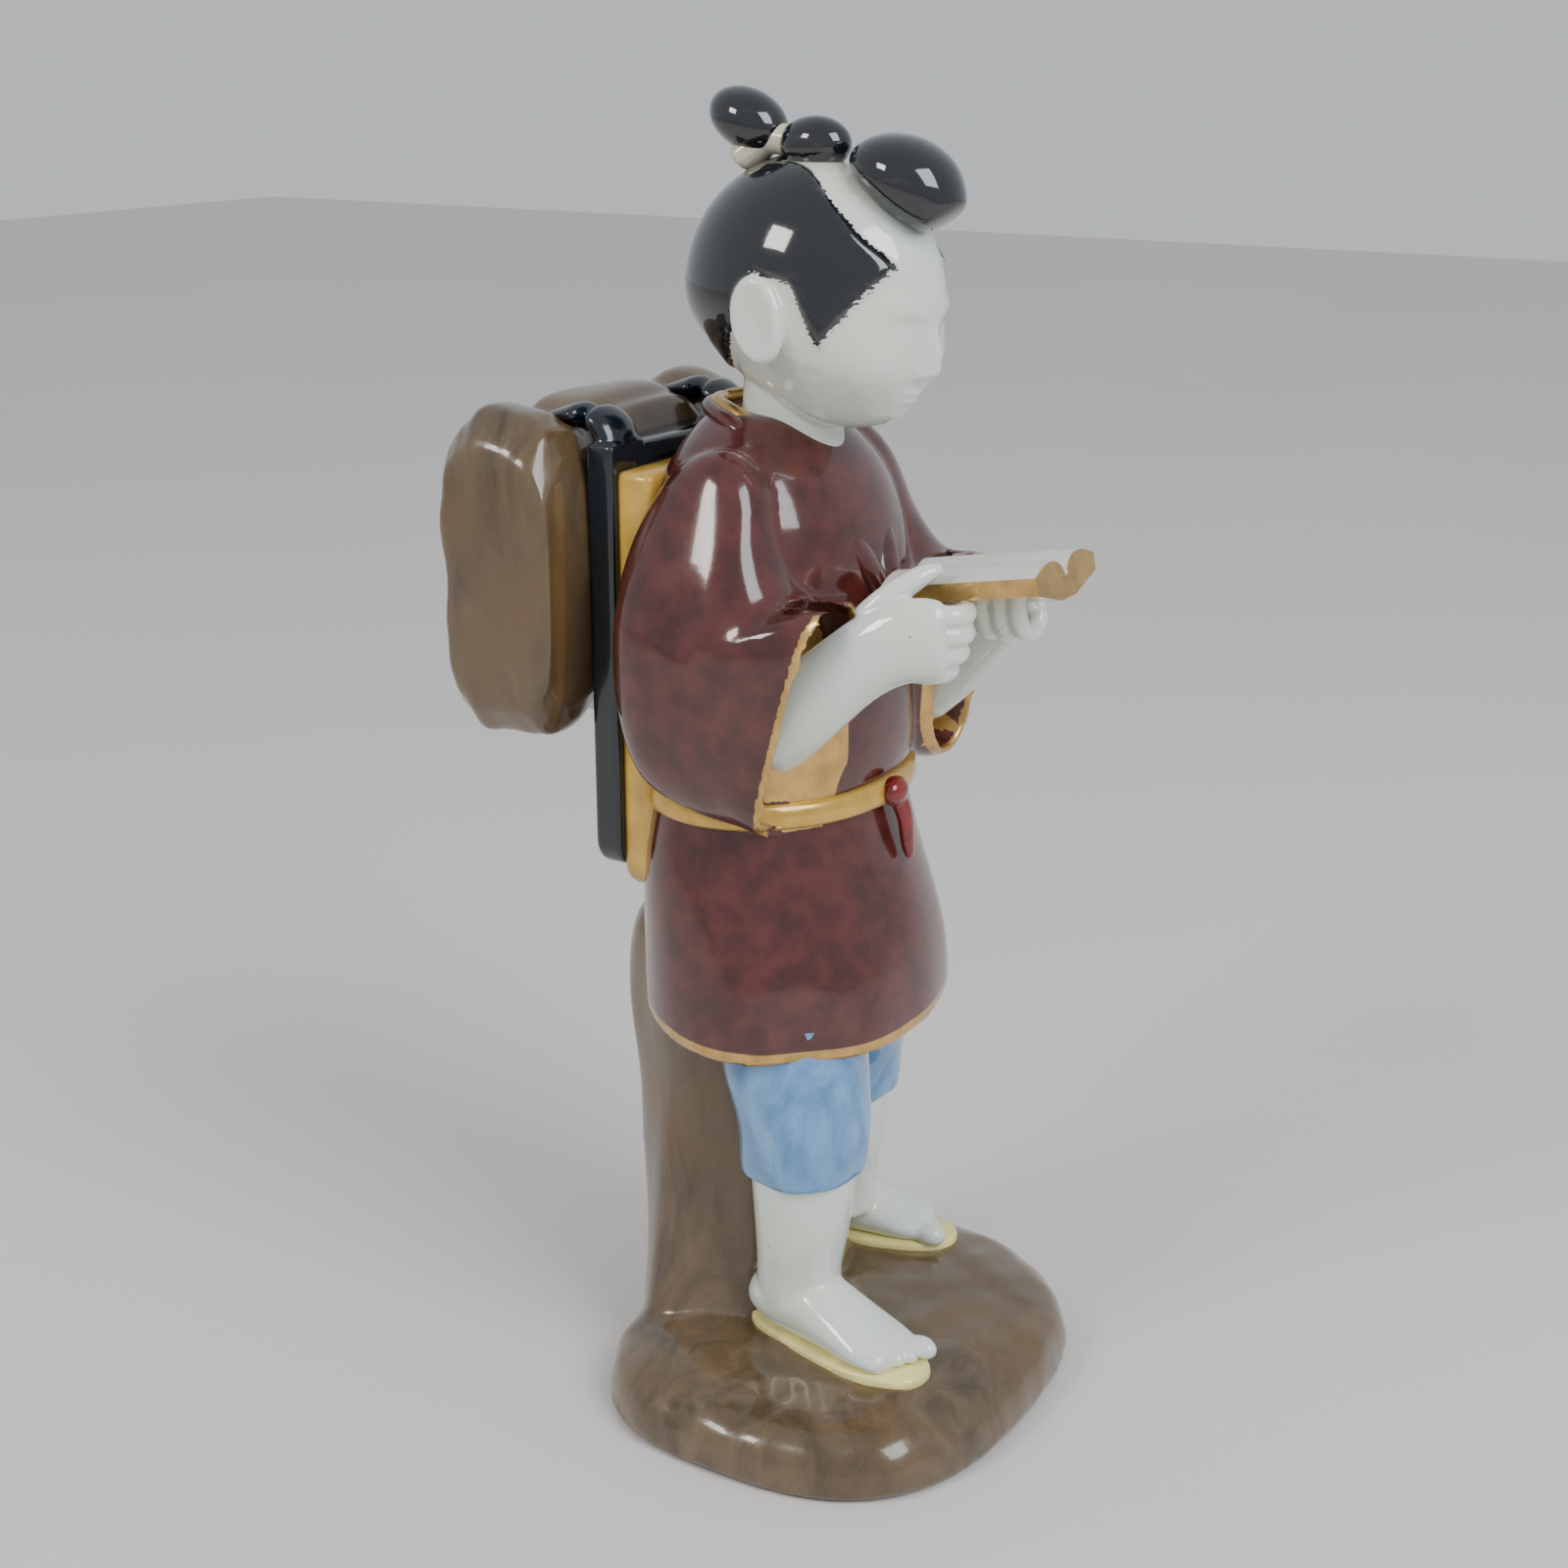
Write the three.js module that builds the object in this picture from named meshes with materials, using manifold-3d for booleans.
// A porcelain figurine of a standing man who reads an open book and carries a load of firewood on his back.
// It was cast and joined while the clay was wet, together with its mound and the stump behind the legs, and
// fired as one piece, so the whole work is one solid. Millimetres, +Z up. He faces -Y and his right is -X.
// The origin is the centre of the underside's bounding box.
import * as THREE from "three";
import { mergeVertices } from "three/addons/utils/BufferGeometryUtils.js";
import Module from "manifold-3d";

// Driving sizes of the whole work.
const OFFSET = { x: 4.55, y: 3.5 }; // from the body's own axis to the middle of the bounding box
const MOUND = { halfX: 59, halfY: 53, x: -4, y: -20.5, top: 18, squareness: 2.8 };
const STUMP_TOP = 126;
const HEM_Z = 96;
const WAIST_Z = 155;
const SHOULDER_Z = 236;
const TROUSER_HEM_Z = 62;
const SOLE_Z = 17;
const HEAD = { y: -9.5, z: 268, halfX: 22.6, front: 30.4, back: 30.6, up: 29, down: 28, bow: 14, hair: 1.3 };
const BOOK = { halfX: 15, length: 38.5, thick: 3.7, y: -54.2, z: 206, tilt: 10, spine: 3.2 };
const LOAD = { halfX: 47, front: 31.5, back: 66, bottom: 165, middle: 202, top: 242, tieX: 23, skew: -1.5 };
const PAD = { halfX: 30, front: 16, back: 26, bottom: 128, top: 229, corner: 7 };
const UPRIGHT = { x: 25, halfX: 7, front: 25, back: 32.5, bottom: 133, top: 241 };

const wasm = await Module();
wasm.setup();

const vec = (x, y, z) => new THREE.Vector3(x, y, z);
const degrees = THREE.MathUtils.degToRad;
const bell = (d, width) => Math.exp(-((d / width) ** 2));
// A smooth step from 0 at one value to 1 at another, in either direction.
const rise = (from, to, value) => THREE.MathUtils.smootherstep((value - from) / (to - from), 0, 1);
const signedPower = (value, power) => Math.sign(value) * Math.abs(value) ** power;

// A smooth curve through the numbers of each key of a row of stations, resampled in equal steps.
function resample(stations, steps) {
  const last = stations.length - 1;
  const at = (i) => stations[THREE.MathUtils.clamp(i, 0, last)];
  const made = [];
  for (let k = 0; k <= steps; k++) {
    const place = (k / steps) * last;
    const i = Math.min(Math.floor(place), last - 1);
    const t = place - i;
    const station = { t: k / steps };
    for (const key of Object.keys(stations[0])) {
      const [a, b, c, d] = [at(i - 1)[key], at(i)[key], at(i + 1)[key], at(i + 2)[key]];
      const slopeIn = (c - a) / 2;
      const slopeOut = (d - b) / 2;
      station[key] =
        b + slopeIn * t + (3 * (c - b) - 2 * slopeIn - slopeOut) * t * t + (2 * (b - c) + slopeIn + slopeOut) * t ** 3;
    }
    made.push(station);
  }
  return made;
}

// A closed mesh over rings of points, each ring with the same count, with a fan across each end.
function skin(rings) {
  const sides = rings[0].length;
  const points = rings.flat();
  const index = [];
  for (let r = 0; r + 1 < rings.length; r++) {
    for (let s = 0; s < sides; s++) {
      const next = (s + 1) % sides;
      const [a, b] = [r * sides + s, r * sides + next];
      index.push(a, b, b + sides, a, b + sides, a + sides);
    }
  }
  for (const [ring, flip] of [[0, true], [rings.length - 1, false]]) {
    const centre = rings[ring].reduce((sum, p) => sum.add(p), vec(0, 0, 0)).divideScalar(sides);
    const hub = points.push(centre) - 1;
    for (let s = 0; s < sides; s++) {
      const [a, b] = [ring * sides + s, ring * sides + ((s + 1) % sides)];
      index.push(...(flip ? [b, a, hub] : [a, b, hub]));
    }
  }
  const geometry = new THREE.BufferGeometry().setFromPoints(points);
  geometry.setIndex(index);
  return geometry;
}

// A closed geometry as a solid, turned the right way out.
function solid(geometry) {
  const bare = geometry.clone();
  bare.deleteAttribute("normal");
  bare.deleteAttribute("uv");
  const merged = mergeVertices(bare, 1e-4);
  const mesh = (triVerts) =>
    new wasm.Manifold(
      new wasm.Mesh({ numProp: 3, vertProperties: new Float32Array(merged.attributes.position.array), triVerts }),
    );
  const faces = new Uint32Array(merged.index.array);
  const made = mesh(faces);
  return made.volume() > 0 ? made : mesh(faces.reverse());
}

const join = (solids) => solids.reduce((whole, next) => whole.add(next));
const mirrored = (geometry) => geometry.clone().applyMatrix4(new THREE.Matrix4().makeScale(-1, 1, 1));

// An upright body of level rings: stations hold z, x, y, rx and ry, and swell(angle, station) moves the skin out.
function column(stations, steps, sides, { swell = () => 0, squareness = 2 } = {}) {
  const rings = resample(stations, steps).map((s) =>
    Array.from({ length: sides }, (_, k) => {
      const angle = (k / sides) * 2 * Math.PI;
      const [c, q] = [Math.cos(angle), Math.sin(angle)];
      const out = swell(angle, s);
      const x = s.x + (s.rx + out) * signedPower(c, 2 / squareness);
      const y = s.y + (s.ry + out) * signedPower(q, 2 / squareness);
      return vec(x, y, s.z + (s.tip ?? 0) * q);
    }),
  );
  return skin(rings);
}

// A limb along a path: stations hold x, y, z and the half width w and half height h across it.
function limb(stations, steps, sides, up = vec(0, 0, 1)) {
  const spine = resample(stations, steps);
  const rings = spine.map((s, i) => {
    const [before, after] = [spine[Math.max(i - 1, 0)], spine[Math.min(i + 1, steps)]];
    const ahead = vec(after.x - before.x, after.y - before.y, after.z - before.z).normalize();
    const side = new THREE.Vector3().crossVectors(ahead, up).normalize();
    const over = new THREE.Vector3().crossVectors(side, ahead);
    return Array.from({ length: sides }, (_, k) => {
      const angle = (k / sides) * 2 * Math.PI;
      return vec(s.x, s.y, s.z)
        .addScaledVector(side, s.w * Math.cos(angle))
        .addScaledVector(over, s.h * Math.sin(angle));
    });
  });
  return skin(rings);
}

// A round swelling of half sizes rx, ry, rz about a point.
function ball(x, y, z, rx, ry, rz, sides = 10, rows = 6) {
  const geometry = new THREE.SphereGeometry(1, sides, rows);
  geometry.rotateX(Math.PI / 2);
  return geometry.scale(rx, ry, rz).translate(x, y, z);
}

// The mound that he stands on: a low loaf with a rolled shoulder and an uneven outline.
function mound() {
  const levels = [
    { z: 0, grow: 0.98 },
    { z: 1.8, grow: 1.0 },
    { z: 9, grow: 0.985 },
    { z: 15, grow: 0.88 },
    { z: MOUND.top, grow: 0.6 },
  ];
  const uneven = (angle) => 1.6 * Math.sin(2 * angle + 0.6) + 1.2 * Math.sin(3 * angle - 0.5);
  const stations = levels.map(({ z, grow }) => {
    return { z, x: MOUND.x, y: MOUND.y, rx: MOUND.halfX * grow, ry: MOUND.halfY * grow };
  });
  return column(stations, levels.length - 1, 26, { swell: uneven, squareness: MOUND.squareness });
}

// The stump behind the legs, with shallow twisting ridges. It carries the back of the robe.
function stump() {
  const ridges = (angle, s) =>
    1.5 * Math.sin(3 * angle + 0.025 * s.z) + 0.9 * Math.sin(5 * angle - 0.04 * s.z + 1) + 0.5 * Math.sin(7 * angle);
  return column(
    [
      { z: 8, x: 0, y: 8, rx: 37, ry: 25 },
      { z: 22, x: 0, y: 10, rx: 31, ry: 23.5 },
      { z: 45, x: 0, y: 13, rx: 26, ry: 22 },
      { z: 72, x: 0, y: 14, rx: 25, ry: 21 },
      { z: 98, x: 0, y: 15, rx: 27, ry: 22.5 },
      { z: 116, x: 0, y: 15, rx: 26, ry: 21.5 },
      { z: STUMP_TOP, x: 0, y: 14, rx: 14, ry: 12 },
    ],
    7,
    16,
    { swell: ridges },
  );
}

// One trouser leg and the bare calf under it, from the robe down to the foot.
function leg(side) {
  const right = side < 0;
  const [topX, topY, hemX, hemY] = right ? [-19, -15, -21, -19] : [19, -8, 23, -4];
  const trouser = column(
    [
      { z: TROUSER_HEM_Z, x: hemX, y: hemY, rx: 14.4, ry: 14.2 },
      { z: TROUSER_HEM_Z + 2, x: hemX, y: hemY, rx: 15.3, ry: 15 },
      { z: TROUSER_HEM_Z + 13, x: hemX, y: hemY, rx: 16.2, ry: 16 },
      { z: TROUSER_HEM_Z + 28, x: topX, y: topY, rx: 18.6, ry: 18.4 },
      { z: HEM_Z + 12, x: topX, y: topY, rx: 18, ry: 18 },
    ],
    5,
    12,
    { swell: (angle, s) => 0.5 * Math.sin(4 * angle + s.z * 0.09) },
  );
  const calf = column(
    [
      { z: SOLE_Z + 8, x: hemX, y: hemY + 1, rx: 10.4, ry: 11 },
      { z: SOLE_Z + 18, x: hemX, y: hemY + 1, rx: 10.2, ry: 10.6 },
      { z: SOLE_Z + 30, x: hemX, y: hemY, rx: 11.6, ry: 12 },
      { z: TROUSER_HEM_Z + 6, x: hemX, y: hemY, rx: 13.2, ry: 13.4 },
    ],
    3,
    11,
  );
  return [trouser, calf];
}

// A foot in a straw sandal: sole, foot and five toes, laid out along +Y from heel to toe, then turned and placed.
function foot(side) {
  const right = side < 0;
  const place = new THREE.Matrix4()
    .makeTranslation(right ? -21 : 25, right ? -8 : 15, SOLE_Z)
    .multiply(new THREE.Matrix4().makeRotationZ(degrees(right ? -7 : 14)))
    .multiply(new THREE.Matrix4().makeScale(right ? -1 : 1, -1, 1));
  const soleRing = (z, grow) =>
    Array.from({ length: 14 }, (_, k) => {
      const angle = (k / 14) * 2 * Math.PI;
      const along = 23 - 25.5 * Math.cos(angle);
      const wide = 9 + 2.2 * rise(8, 34, along);
      return vec(grow * wide * signedPower(Math.sin(angle), 0.8), 23 + grow * (along - 23), z);
    });
  const sole = skin([soleRing(-2.5, 1), soleRing(1.2, 1.02), soleRing(2.6, 0.97)]);
  const upper = limb(
    [
      { x: 0, y: -1, z: 5, w: 4, h: 3 },
      { x: 0, y: 2.5, z: 8.5, w: 8, h: 7.5 },
      { x: 0, y: 12, z: 10, w: 9, h: 10 },
      { x: 0, y: 24, z: 7.5, w: 9.4, h: 7.4 },
      { x: 0.3, y: 35, z: 5.2, w: 10.2, h: 4.8 },
      { x: 0.4, y: 42, z: 4.4, w: 8.6, h: 3.2 },
    ],
    6,
    10,
  );
  const toes = [0, 1, 2, 3, 4].map((k) => {
    const size = k === 0 ? 2.9 : 2.1 - 0.12 * k;
    const across = -6.6 + (k === 0 ? 0 : 1.6 + 3.1 * k);
    return ball(across, 43.2 - 0.35 * k * k - 0.4 * k, 4.3 - 0.1 * k, size, size * 1.45, size, 6, 4);
  });
  return [sole, upper, ...toes].map((g) => g.applyMatrix4(place));
}

// The skirt of the robe, from the waist to the hem, with soft folds that grow downwards.
function skirt() {
  const folds = (angle, s) => {
    const low = rise(WAIST_Z, HEM_Z, s.z);
    return low * (0.9 * Math.sin(6 * angle + 0.8) + 0.5 * Math.sin(9 * angle + 2));
  };
  return column(
    [
      { z: HEM_Z + 3, x: 0, y: -5.5, rx: 40, ry: 30, tip: 1 },
      { z: HEM_Z, x: 0, y: -5.5, rx: 43.2, ry: 33, tip: 1.5 },
      { z: HEM_Z + 4, x: 0, y: -5.5, rx: 44, ry: 33.8, tip: 1.5 },
      { z: HEM_Z + 18, x: 0, y: -4.5, rx: 43.6, ry: 33.2, tip: 1 },
      { z: HEM_Z + 38, x: 0, y: -1, rx: 41, ry: 30.5, tip: 0 },
      { z: WAIST_Z - 6, x: 0, y: 0, rx: 37.5, ry: 28.5, tip: 0 },
      { z: WAIST_Z + 4, x: 0, y: 0, rx: 35.5, ry: 27, tip: 0 },
    ],
    7,
    26,
    { swell: folds },
  );
}

// The upper body in its robe, from the waist to the foot of the neck.
function torso() {
  return column(
    [
      { z: WAIST_Z - 2, x: 0, y: 0, rx: 35, ry: 26.5 },
      { z: WAIST_Z + 5, x: 0, y: -0.5, rx: 37.5, ry: 29 },
      { z: WAIST_Z + 20, x: 0, y: -0.5, rx: 37, ry: 29.5 },
      { z: 200, x: 0, y: 0, rx: 36, ry: 28.5 },
      { z: 220, x: 0, y: 1, rx: 34.5, ry: 25 },
      { z: 231, x: 0, y: 2, rx: 29, ry: 20 },
      { z: SHOULDER_Z + 2, x: 0, y: 3, rx: 20, ry: 15 },
      { z: SHOULDER_Z + 6, x: 0, y: 3, rx: 12.5, ry: 11.5 },
    ],
    7,
    20,
    { squareness: 2.2 },
  );
}

// The sash round the waist, a little proud of the robe, with its knotted ends at the front.
function sash() {
  const band = column(
    [
      { z: WAIST_Z - 4.5, x: 0, y: -0.4, rx: 36.5, ry: 28 },
      { z: WAIST_Z - 3.2, x: 0, y: -0.4, rx: 39, ry: 30.4 },
      { z: WAIST_Z + 1.2, x: 0, y: -0.4, rx: 38.6, ry: 30 },
      { z: WAIST_Z + 2.5, x: 0, y: -0.4, rx: 36.5, ry: 28 },
    ],
    3,
    20,
  );
  const tail = limb(
    [
      { x: 1, y: -30.5, z: WAIST_Z - 1, w: 3, h: 2 },
      { x: 3, y: -32.4, z: WAIST_Z - 7, w: 2.6, h: 1.9 },
      { x: 4.5, y: -32.6, z: WAIST_Z - 15, w: 2.2, h: 1.6 },
      { x: 5.5, y: -32.8, z: WAIST_Z - 19, w: 1.2, h: 1 },
    ],
    5,
    6,
    vec(0, -1, 0),
  );
  return [band, tail, ball(0.5, -31, WAIST_Z - 1, 4.4, 3, 3.6, 8, 5)];
}

// The two cuffs: the lowest and highest place of each mouth. The left arm is held a little further forward.
const CUFF = {
  right: { x: -31, low: [-21.5, 156], high: [-33, 199], hang: [-25, 154] },
  left: { x: 31, low: [-29.5, 159], high: [-34.5, 198], hang: [-31.5, 157.5] },
};

// A sleeve, worked out as one outline in the Y-Z plane that closes in towards the outer side.
function sleeve(cuff) {
  const [frontY, frontZ] = [cuff.high[0] - 4, cuff.high[1] + 4];
  const outline = new THREE.CatmullRomCurve3(
    [
      [-3, 236.5], [9, 232], [17.5, 219], [20.5, 199], [20, 177], [13.5, 159.5], [-1, 153.5], [-15, 152.5],
      cuff.hang, [frontY, frontZ], [frontY + 14, frontZ + 2], [-16.5, 216], [-12.5, 229],
    ].map(([y, z]) => vec(0, y, z)),
    true,
    "centripetal",
  );
  const count = 24;
  const points = outline.getSpacedPoints(count).slice(0, count);
  const middle = vec(0, -3, 192);
  const side = Math.sign(cuff.x);
  const sections = [
    { x: 13, grow: 0.76 },
    { x: 24, grow: 0.93 },
    { x: 32, grow: 1.0 },
    { x: 39, grow: 0.975 },
    { x: 44, grow: 0.86 },
    { x: 47, grow: 0.64 },
    { x: 48.3, grow: 0.34 },
  ];
  const rings = sections.map(({ x, grow }) =>
    points.map((p) => {
      const q = p.clone().sub(middle).multiplyScalar(grow).add(middle);
      // The sleeve narrows towards the shoulder, so high points lie nearer the body.
      q.x = side * x * (1 - 0.2 * rise(190, 236, q.z));
      return q;
    }),
  );
  return skin(rings);
}

// A block in a cuff's own directions, from one distance to another along the way out of its mouth.
function cuffBlock(cuff, halfWide, halfHigh, from, to, round) {
  const [low, high] = [vec(cuff.x, ...cuff.low), vec(cuff.x, ...cuff.high)];
  const up = new THREE.Vector3().subVectors(high, low).normalize();
  const across = vec(1, 0, 0);
  const out = new THREE.Vector3().crossVectors(across, up);
  const middle = new THREE.Vector3().addVectors(low, high).multiplyScalar(0.5);
  const frame = new THREE.Matrix4().makeBasis(across, up, out).setPosition(middle);
  const shape = round
    ? new THREE.CylinderGeometry(1, 1, 1, 12).rotateX(Math.PI / 2).scale(halfWide, halfHigh, to - from)
    : new THREE.BoxGeometry(2 * halfWide, 2 * halfHigh, to - from);
  return shape.translate(0, 0, (from + to) / 2).applyMatrix4(frame);
}

// The sleeve cut flat at its mouth and hollowed a little behind it.
function cutSleeve(cuff) {
  const whole = solid(sleeve(cuff));
  const beyond = solid(cuffBlock(cuff, 40, 60, 0, 60, false));
  const mouth = solid(cuffBlock(cuff, 9, 18.5, -5, 1, true));
  return whole.subtract(beyond).subtract(mouth);
}

// The crossed collar: a band from the nape over each shoulder that meets low on the chest.
function collar() {
  const strip = (side) => {
    const stations = [
      { x: 0, y: 15.5, z: 241, w: 3.2, h: 2 },
      { x: side * 9, y: 12.5, z: 241, w: 3.4, h: 2.1 },
      { x: side * 14.5, y: 3, z: 239, w: 3.6, h: 2.2 },
      { x: side * 13.5, y: -8, z: 233.5, w: 4, h: 2.2 },
      { x: side * 9.5, y: -18, z: 222, w: 4.2, h: 2.2 },
      { x: side * 3.5, y: -26.5, z: 207, w: 4.4, h: 2.2 },
      { x: -side * 1.5, y: -29, z: 196, w: 4.2, h: 1.8 },
    ];
    return limb(stations, 8, 6, vec(0, -0.75, 0.66));
  };
  return [strip(-1), strip(1)];
}

// A carrying strap over one shoulder, from behind down to the front of the armpit.
function strap() {
  return limb(
    [
      { x: -21, y: 27, z: 214, w: 3.2, h: 1.6 },
      { x: -23, y: 22, z: 229, w: 3.2, h: 1.8 },
      { x: -24, y: 12, z: 236.5, w: 3.2, h: 1.8 },
      { x: -24.5, y: 0, z: 237, w: 3.2, h: 1.8 },
      { x: -27, y: -11, z: 230, w: 3.2, h: 1.8 },
      { x: -31, y: -18, z: 217, w: 3.2, h: 1.8 },
      { x: -33, y: -22, z: 205, w: 3, h: 1.6 },
    ],
    7,
    6,
    vec(-0.4, -0.4, 0.82),
  );
}

// One finger, from its knuckle round under the book.
function finger(stations) {
  return limb(stations, 4, 6, vec(0, 0, 1));
}

// The right forearm and hand: the back of the hand outwards, four fingers stacked and closed, thumb on the page.
function rightHand() {
  const arm = limb(
    [
      { x: -31.5, y: -12, z: 171, w: 9.4, h: 10.6 },
      { x: -29.5, y: -24, z: 181, w: 9.6, h: 9.8 },
      { x: -27.8, y: -34, z: 190.5, w: 7.4, h: 8.8 },
      { x: -26, y: -43, z: 197, w: 6.2, h: 9.4 },
      { x: -24, y: -51, z: 199, w: 5.2, h: 9.6 },
      { x: -23, y: -56, z: 199.4, w: 3.8, h: 8.2 },
    ],
    6,
    9,
  );
  const fingers = [
    { y: -57.4, z: 204.2 },
    { y: -57.2, z: 199.8 },
    { y: -56, z: 195.4 },
    { y: -53.6, z: 191.2 },
  ].map(({ y, z }) =>
    finger([
      { x: -24.5, y: y + 6, z, w: 2.6, h: 2.7 },
      { x: -21.4, y: y + 0.2, z, w: 2.8, h: 2.7 },
      { x: -16, y: y + 0.6, z: z - 0.2, w: 2.7, h: 2.6 },
      { x: -11.5, y: y + 4, z: z - 0.4, w: 2.3, h: 2.3 },
    ]),
  );
  const thumb = limb(
    [
      { x: -27, y: -37, z: 201, w: 3.2, h: 4 },
      { x: -24.5, y: -42, z: 207, w: 3, h: 3.4 },
      { x: -20, y: -46.5, z: 211, w: 2.8, h: 2.7 },
      { x: -17, y: -49, z: 212.4, w: 2.4, h: 2.1 },
      { x: -15.8, y: -51, z: 212.8, w: 1.2, h: 1.2 },
    ],
    5,
    6,
  );
  return [arm, ...fingers, thumb];
}

// The left forearm and hand: the fingers side by side, curled up under the book, thumb on the page.
function leftHand() {
  const arm = limb(
    [
      { x: 32, y: -18, z: 168, w: 8.8, h: 9.6 },
      { x: 30.5, y: -28, z: 176, w: 8, h: 9 },
      { x: 27.5, y: -37, z: 185, w: 6.8, h: 8.4 },
      { x: 24.5, y: -44, z: 193.5, w: 6, h: 8.6 },
      { x: 22.5, y: -51, z: 198, w: 5, h: 8.2 },
      { x: 21.5, y: -57, z: 200, w: 3.6, h: 6.4 },
    ],
    6,
    9,
  );
  const fingers = [0, 1, 2, 3].map((k) => {
    const y = -57 + 4.4 * k;
    const low = 191.4 + 0.5 * Math.abs(k - 1.5);
    return limb(
      [
        { x: 21.5, y, z: low + 5, w: 2.5, h: 2.6 },
        { x: 18.5, y, z: low + 0.4, w: 2.6, h: 2.6 },
        { x: 12.5, y, z: low + 1, w: 2.6, h: 2.6 },
        { x: 8.8, y, z: low + 6.5, w: 2.4, h: 2.4 },
        { x: 8.4, y, z: low + 13, w: 2.1, h: 2.1 },
      ],
      5,
      6,
      vec(0, 1, 0),
    );
  });
  const thumb = limb(
    [
      { x: 26, y: -38, z: 198, w: 3.2, h: 3.6 },
      { x: 23.5, y: -42, z: 203.5, w: 2.9, h: 3 },
      { x: 19.5, y: -46, z: 206.6, w: 2.7, h: 2.6 },
      { x: 17.5, y: -50, z: 208.2, w: 2.3, h: 2.2 },
      { x: 16.8, y: -52.5, z: 208.8, w: 1.2, h: 1.2 },
    ],
    5,
    6,
  );
  return [arm, ...fingers, thumb];
}

// The open book: a hump of pages on each side of a valley, gold clay filling the space below down to the spine.
function book() {
  const steps = 10;
  const top = (u) => 0.6 + 5.4 * Math.sin(0.8 * Math.PI * u ** 0.62);
  const section = [];
  for (let k = 0; k <= steps; k++) {
    const part = 1 - (2 * k) / steps;
    section.push([part * BOOK.halfX, top(Math.abs(part))]);
  }
  for (const part of [-1, -0.25, 0.25, 1]) section.push([part * BOOK.halfX, Math.abs(part) < 1 ? -BOOK.spine : 0]);
  const rings = [-0.5, 0.5].map((part) => section.map(([x, z]) => vec(x, part * BOOK.length, z)));
  return skin(rings)
    .rotateX(degrees(-BOOK.tilt))
    .translate(0, BOOK.y, BOOK.z);
}

// How far the face stands out from the plain head at a place on its front, x across and z up from its middle.
function faceRelief(x, z) {
  const side = Math.abs(x);
  const nose = 3.4 * bell(x, 2.5) * bell(z + 4.5, 4.6) + 2.2 * bell(x, 2.9) * bell(z + 8.4, 2.2);
  const socket = -1.9 * bell(side - 9, 5) * bell(z - 0.5, 3.2);
  const lid = 1.1 * bell(side - 9, 3.8) * bell(z + 0.4, 2.1);
  const brow = 0.7 * bell(side - 8, 6) * bell(z - 5, 2.2);
  const lips = 1.3 * bell(x, 4) * bell(z + 14.4, 2.3) - 0.8 * bell(x, 4.5) * bell(z + 14.6, 0.5);
  const chin = 2.2 * bell(x, 6.5) * bell(z + 21, 4);
  const cheek = 0.9 * bell(side - 12, 7) * bell(z + 9, 7);
  return nose + socket + lid + brow + lips + chin + cheek;
}

// Moves a geometry made about the head's own middle into its bowed place.
function onHead(geometry) {
  return geometry.rotateX(degrees(HEAD.bow)).translate(0, HEAD.y, HEAD.z);
}

// How much of the swept-back hair covers a place on the head, from 0 on skin to 1 on hair.
function hairCover(x, y, z) {
  const shaved = 6 + 8 * rise(14, -12, y) - 5 * rise(-12, -30, y);
  const offBand = Math.max(rise(shaved - 1.5, shaved + 1.5, Math.abs(x)), rise(11, 15, y));
  const behindTemple = rise(-2, 2, y + 14.4 + 0.453 * (z + 6.2));
  const low = y < 4 ? Math.min(5.5, -6.2 + 1.25 * (y + 14.4)) : Math.max(-20.5, 5.5 - 3.6 * (y - 4));
  return Math.max(z > 0 ? offBand : 1, z > 0 ? 0 : 1) * behindTemple * rise(-2, 2, z - low);
}

// The head: an egg with a fuller back, a jaw that closes in, the hair in relief and the face at the front.
function skull(sides, rows) {
  const geometry = new THREE.SphereGeometry(1, sides, rows).rotateX(Math.PI / 2);
  const place = geometry.attributes.position;
  for (let i = 0; i < place.count; i++) {
    const [x, y, z] = [place.getX(i), place.getY(i), place.getZ(i)];
    // The face is fuller than an egg: its power grows towards the front and the chin.
    const power = 2 + 0.7 * rise(0.3, -0.5, y) * rise(0.4, -0.4, z);
    const full = (Math.abs(x) ** power + Math.abs(y) ** power + Math.abs(z) ** power) ** (-1 / power);
    const jaw = 1 - 0.24 * rise(0, -1, z * full);
    const nape = y > 0 ? 1 - 0.34 * rise(-0.25, -0.95, z) : 1;
    const px = x * full * HEAD.halfX * jaw;
    const py = y * full * (y < 0 ? HEAD.front : HEAD.back) * nape;
    const pz = z * full * (z > 0 ? HEAD.up : HEAD.down);
    const out = HEAD.hair * hairCover(px, py, pz);
    const relief = y < 0 ? faceRelief(px, pz) * rise(0, -0.45, y) : 0;
    place.setXYZ(i, px + out * x, py + out * y - relief, pz + out * z);
  }
  return geometry;
}

// An ear: a flattened swelling, leaning back a little at its top.
function ear() {
  return onHead(ball(0, 0, 0, 2.9, 6.6, 9.8, 10, 7).rotateX(degrees(-24)).translate(-HEAD.halfX - 0.4, 0.5, -4));
}

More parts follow.
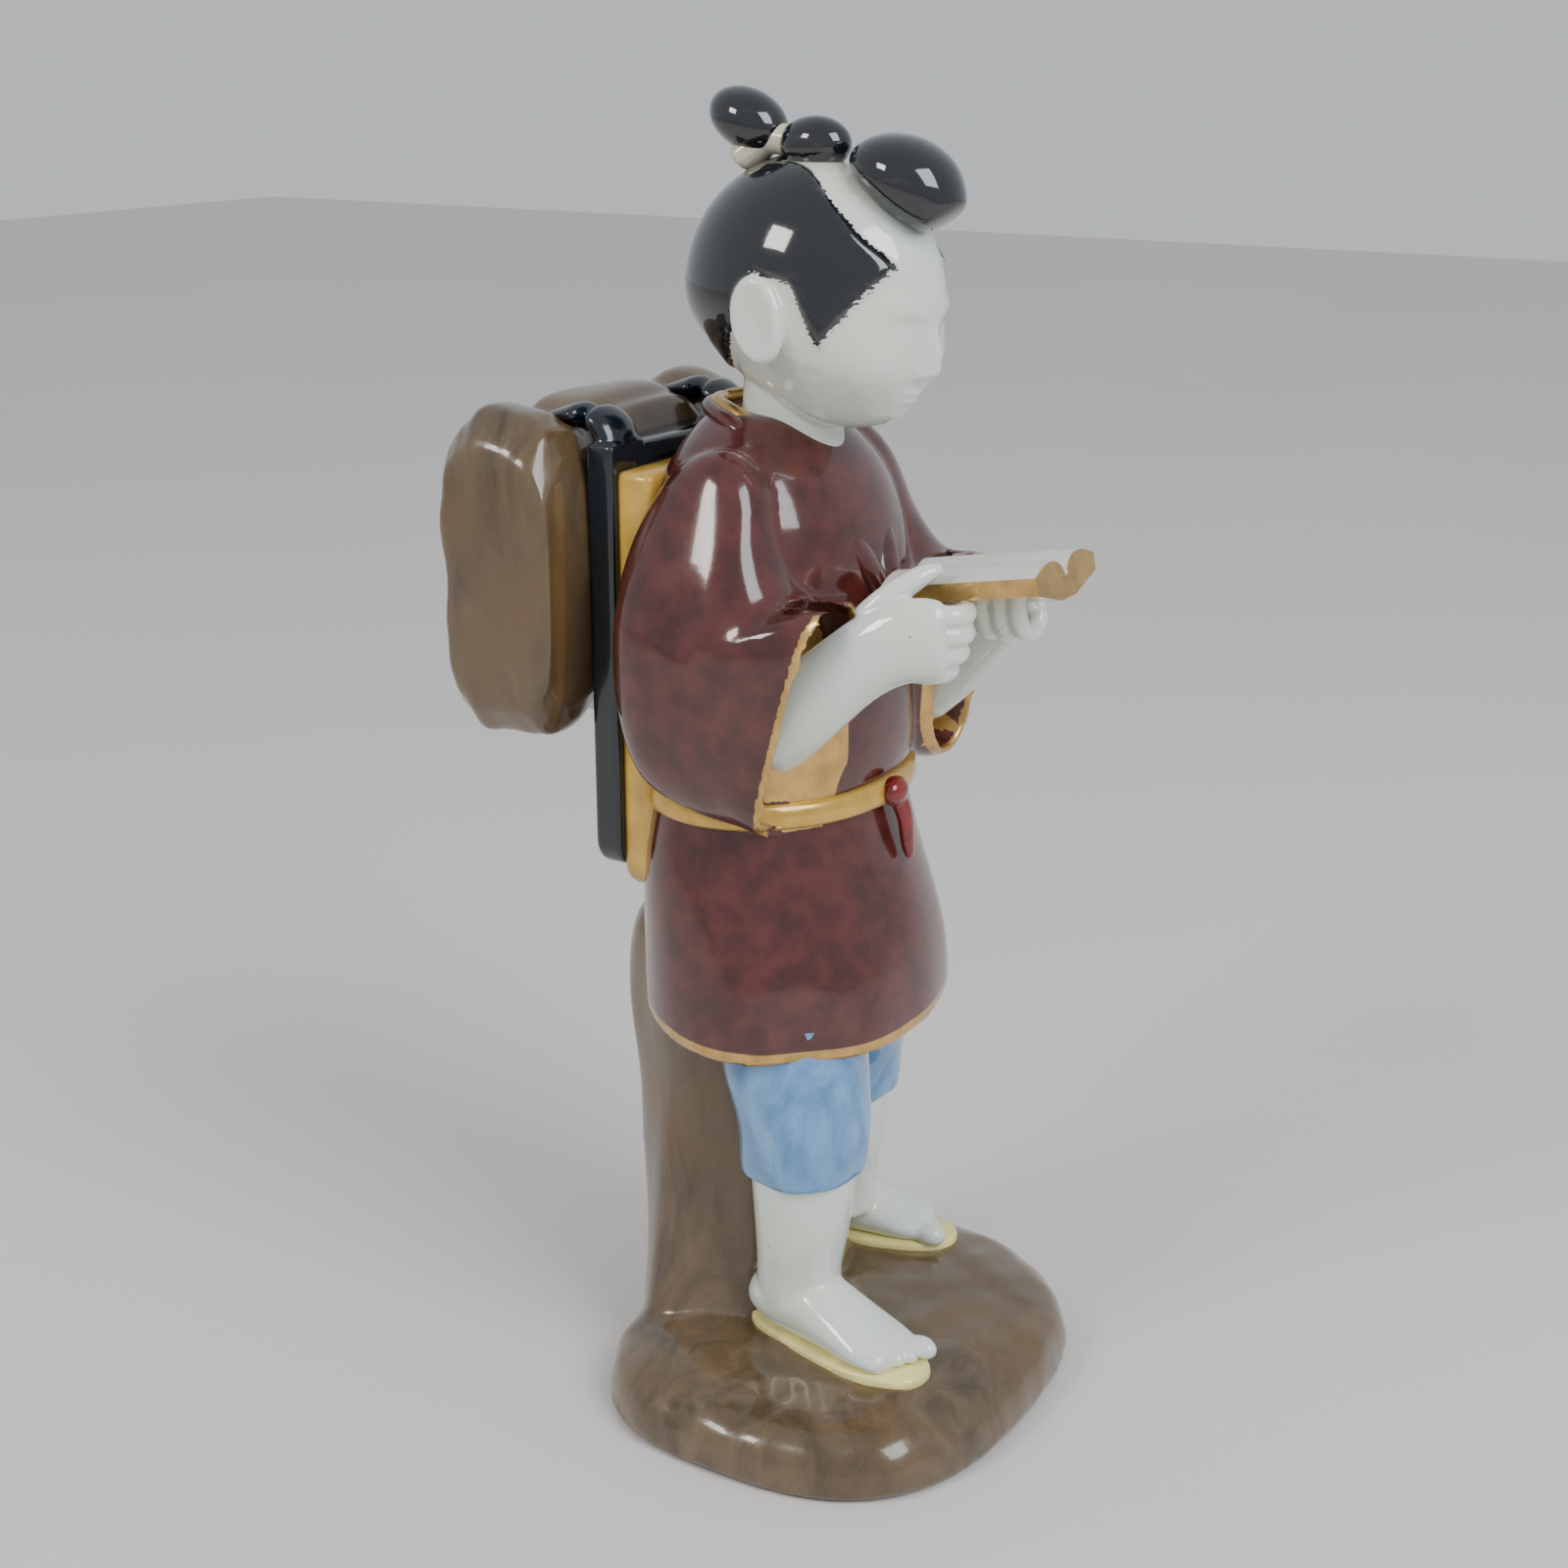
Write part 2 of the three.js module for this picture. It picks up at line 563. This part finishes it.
// The tied hair on the crown: the lock above the forehead, a small middle lock and the folded knot at the back.
function topknot() {
  const forelock = limb(
    [
      { x: 0, y: -20, z: 296, w: 5, h: 3 },
      { x: 0, y: -24, z: 296.5, w: 9.6, h: 6.2 },
      { x: 0, y: -31, z: 294.5, w: 11.8, h: 8.6 },
      { x: 0, y: -37.2, z: 290, w: 10.8, h: 8.6 },
      { x: 0, y: -41.5, z: 284.5, w: 6.5, h: 5 },
    ],
    6,
    11,
  );
  const middle = ball(0, -9, 300, 6.4, 8.5, 6, 9, 6);
  const tie = limb(
    [
      { x: 0, y: 10, z: 296, w: 6, h: 4 },
      { x: 0, y: 6, z: 299, w: 4.6, h: 4 },
      { x: 0, y: 2, z: 301, w: 3.8, h: 3.6 },
      { x: 0, y: -5, z: 300, w: 4, h: 3.6 },
    ],
    3,
    8,
  );
  const knot = ball(0, 0, 0, 7.6, 9.8, 6.6, 10, 7).rotateX(degrees(24)).translate(0, 8.2, 304.8);
  return [forelock, middle, tie, knot];
}

// Neck, from inside the collar up into the head.
function neck() {
  return column(
    [
      { z: 226, x: 0, y: -4, rx: 12.5, ry: 13 },
      { z: 238, x: 0, y: -3, rx: 11.4, ry: 12 },
      { z: 248, x: 0, y: -4, rx: 11.2, ry: 12 },
      { z: 260, x: 0, y: -5, rx: 11.5, ry: 12.5 },
    ],
    5,
    16,
  );
}

// The load: a bundle of sticks across his back, two rows high, drawn in at the ties and rounded at both ends.
function load() {
  const middleY = (LOAD.front + LOAD.back) / 2;
  const middleZ = (LOAD.bottom + LOAD.top) / 2;
  const half = { y: (LOAD.back - LOAD.front) / 2, z: (LOAD.top - LOAD.bottom) / 2 };
  const valley = (LOAD.middle - middleZ) / half.z;
  const parts = [-1, -0.94, -0.8, -0.62, -0.49, -0.36, 0, 0.36, 0.49, 0.62, 0.8, 0.94, 1];
  const rings = parts.map((part) => {
    const end = Math.abs(part);
    const tied = 1 - 0.1 * bell(end * LOAD.halfX - LOAD.tieX, 4.5);
    const rounded = 1 - 0.2 * rise(0.8, 1, end) ** 2;
    return Array.from({ length: 20 }, (_, k) => {
      const angle = (k / 20) * 2 * Math.PI;
      const up = signedPower(Math.sin(angle), 0.6);
      const out = signedPower(Math.cos(angle), 0.6);
      // The side against his back stays flat.
      const free = rise(-0.95, -0.5, out);
      const waist = 1 - 0.17 * bell(up - valley, 0.2) * (0.4 + 0.6 * rise(0.5, 0.9, end));
      const lump = 1 + 0.018 * Math.sin(9 * angle + 1) + 0.012 * Math.sin(5 * angle);
      const shape = 1 + free * (tied * rounded * waist * lump - 1);
      const y = middleY + LOAD.skew * part + half.y * out * shape;
      return vec(part * LOAD.halfX, y, middleZ + half.z * up * tied * rounded * lump);
    });
  });
  return skin(rings);
}

// One upright of the carrying frame: a board behind his back with a round foot, bent over the load at the top.
function upright() {
  const thick = UPRIGHT.back - UPRIGHT.front;
  const face = new THREE.Shape();
  const [w, low, high] = [UPRIGHT.halfX, UPRIGHT.bottom, UPRIGHT.top - 6];
  face.moveTo(-w, high);
  face.lineTo(-w, low + w);
  face.absarc(0, low + w, w, Math.PI, 2 * Math.PI, false);
  face.lineTo(w, high);
  face.closePath();
  const board = new THREE.ExtrudeGeometry(face, { depth: thick, bevelEnabled: false, curveSegments: 6 });
  board.rotateX(Math.PI / 2).translate(-UPRIGHT.x, UPRIGHT.back, 0);
  const over = [
    { y: 28.5, z: 224, w: 7, h: 3.6 },
    { y: 29, z: 236, w: 7, h: 3.6 },
    { y: 34.5, z: 240.5, w: 6.6, h: 3 },
    { y: 42, z: 240, w: 5.6, h: 2 },
    { y: 50, z: 238, w: 3.4, h: 1 },
  ];
  const hook = limb(over.map((s) => ({ ...s, x: -UPRIGHT.x + 1 })), 7, 8, vec(0, 1, 0.2));
  return [board, hook];
}

// The woven pad of the carrying frame, between his back and the uprights, and the panel that backs the load.
function backPad() {
  const plate = (halfX, bottom, top, corner, front, back) => {
    const face = new THREE.Shape();
    face.moveTo(-halfX, top);
    face.lineTo(-halfX, bottom + corner);
    face.absarc(-halfX + corner, bottom + corner, corner, Math.PI, 1.5 * Math.PI, false);
    face.absarc(halfX - corner, bottom + corner, corner, -0.5 * Math.PI, 0, false);
    face.lineTo(halfX, top);
    face.closePath();
    const made = new THREE.ExtrudeGeometry(face, { depth: back - front, bevelEnabled: false, curveSegments: 3 });
    return made.rotateX(Math.PI / 2).translate(0, back, 0);
  };
  const pad = plate(PAD.halfX, PAD.bottom, PAD.top, PAD.corner, PAD.front, PAD.back);
  const panel = plate(UPRIGHT.x, LOAD.bottom - 4, LOAD.top - 8, 2, PAD.back - 1, LOAD.front + 4);
  return [pad, panel];
}

function figurine() {
  const right = [leg(-1), foot(-1), rightHand(), upright()].flat();
  const left = [leg(1), foot(1), leftHand(), upright().map(mirrored)].flat();
  const middle = [mound(), stump(), skirt(), torso(), sash(), collar(), neck(), book(), load(), backPad()].flat();
  const paired = [strap(), ear()].flatMap((g) => [g, mirrored(g)]);
  const head = [onHead(skull(24, 16)), ...topknot()];
  return join([
    ...[...middle, ...head, ...right, ...left, ...paired].map(solid),
    cutSleeve(CUFF.right),
    cutSleeve(CUFF.left),
  ]);
}

// The vertices and triangles of a solid as a geometry to draw.
function drawn(made) {
  const { vertProperties, triVerts, numProp } = made.getMesh();
  const count = vertProperties.length / numProp;
  const positions = new Float32Array(count * 3);
  for (let i = 0; i < count; i++) positions.set(vertProperties.subarray(i * numProp, i * numProp + 3), i * 3);
  const geometry = new THREE.BufferGeometry();
  geometry.setAttribute("position", new THREE.BufferAttribute(positions, 3));
  geometry.setIndex(new THREE.BufferAttribute(triVerts, 1));
  geometry.computeVertexNormals();
  return geometry;
}

const glazedPorcelain = new THREE.MeshStandardMaterial({ color: 0x6b3f36, roughness: 0.18, metalness: 0 });
const figure = new THREE.Mesh(drawn(figurine()), glazedPorcelain);
figure.name = "figurine";
figure.position.set(OFFSET.x, OFFSET.y, 0);

const work = new THREE.Group();
work.add(figure);

export default work;
